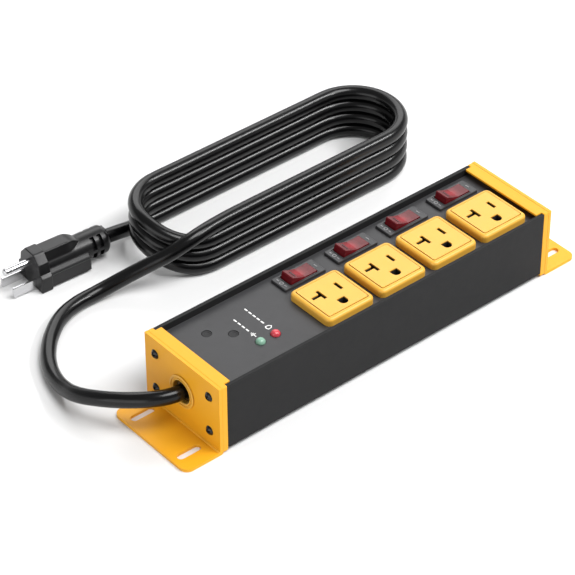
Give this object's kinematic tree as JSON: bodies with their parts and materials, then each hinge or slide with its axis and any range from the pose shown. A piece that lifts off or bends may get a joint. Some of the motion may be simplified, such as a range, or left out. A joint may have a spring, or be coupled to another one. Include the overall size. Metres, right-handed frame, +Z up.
{
  "type": "portable power distribution box",
  "caption": "Metal power strip with a row of yellow grounded outlets, a lit red rocker switch beside each, folded yellow end brackets with mounting slots, two lamps and a coiled mains lead.",
  "frame": {"origin": "centre of the box's footprint, on the undersides of its two mounting flanges, without the cord and plug", "axes": "+X along the box, away from the end where the cord leaves; +Y across the box, from the outlets towards the switches; +Z up"},
  "size_m": [0.3176, 0.2054, 0.0483],
  "materials": {
    "housing_paint": "satin dark grey powder coat on the folded housing",
    "panel_paint": "satin grey powder coat with white printed marks on the top panel",
    "yellow_metal": "satin yellow powder coat",
    "yellow_plastic": "yellow moulded plastic, soft gloss",
    "black_screw": "black oxide, satin",
    "black_plastic": "fine-grained black moulded plastic",
    "cord_rubber": "soft satin black cord jacket",
    "plug_rubber": "satin black moulded plug",
    "red_rocker": "translucent red, polished, lit from inside",
    "green_lens": "translucent green lens",
    "red_lens": "translucent red lens",
    "prong_metal": "nickel-plated brass",
    "copper_strip": "bare copper alloy strip",
    "steel": "zinc-plated steel",
    "board": "green circuit board",
    "varistor": "blue epoxy coating",
    "white_insulation": "white wire insulation",
    "green_insulation": "green wire insulation",
    "black_insulation": "black wire insulation"
  },
  "bodies": {
    "box": {"housing": "housing_paint", "top_panel": "panel_paint", "left_end_cap": "yellow_metal", "right_end_cap": "yellow_metal", "left_bracket": "yellow_metal", "right_bracket": "yellow_metal", "left_cap_screws": "black_screw", "right_cap_screws": "black_screw", "cord_grommet": "yellow_plastic", "gland_nut": "black_plastic", "strain_relief": "cord_rubber", "outlet_bezel_1": "yellow_plastic", "outlet_bezel_2": "yellow_plastic", "outlet_bezel_3": "yellow_plastic", "outlet_bezel_4": "yellow_plastic", "outlet_face_1": "yellow_plastic", "outlet_face_2": "yellow_plastic", "outlet_face_3": "yellow_plastic", "outlet_face_4": "yellow_plastic", "outlet_base_1": "black_plastic", "outlet_base_2": "black_plastic", "outlet_base_3": "black_plastic", "outlet_base_4": "black_plastic", "live_contacts": "copper_strip", "neutral_busbar": "copper_strip", "ground_busbar": "copper_strip", "ground_screw": "steel", "switch_frame_1": "black_plastic", "switch_frame_2": "black_plastic", "switch_frame_3": "black_plastic", "switch_frame_4": "black_plastic", "switch_terminals": "steel", "live_busbar": "copper_strip", "switch_leads": "black_insulation", "green_lamp": "green_lens", "red_lamp": "red_lens", "blanking_plugs": "black_plastic", "control_board": "board", "varistors": "varistor", "board_standoffs": "steel", "board_screws": "steel", "live_wire": "black_insulation", "neutral_wire": "white_insulation", "ground_wire": "green_insulation", "cord_lead": "cord_rubber", "cord_coil": "cord_rubber", "cord_tail": "cord_rubber", "plug_body": "plug_rubber", "plug_blades": "prong_metal", "plug_ground_pin": "prong_metal"},
    "rocker_1": {"rocker_1": "red_rocker"},
    "rocker_2": {"rocker_2": "red_rocker"},
    "rocker_3": {"rocker_3": "red_rocker"},
    "rocker_4": {"rocker_4": "red_rocker"}
  },
  "joints": [
    {"name": "switch_1", "type": "hinge", "parent": "box", "child": "rocker_1", "pos_m": [-0.0247, 0.0198, 0.041], "axis": [0, -1, 0], "range_deg": [0, 20]},
    {"name": "switch_2", "type": "hinge", "parent": "box", "child": "rocker_2", "pos_m": [0.0151, 0.0198, 0.041], "axis": [0, -1, 0], "range_deg": [0, 20]},
    {"name": "switch_3", "type": "hinge", "parent": "box", "child": "rocker_3", "pos_m": [0.0549, 0.0198, 0.041], "axis": [0, -1, 0], "range_deg": [0, 20]},
    {"name": "switch_4", "type": "hinge", "parent": "box", "child": "rocker_4", "pos_m": [0.0947, 0.0198, 0.041], "axis": [0, -1, 0], "range_deg": [0, 20]}
  ]
}
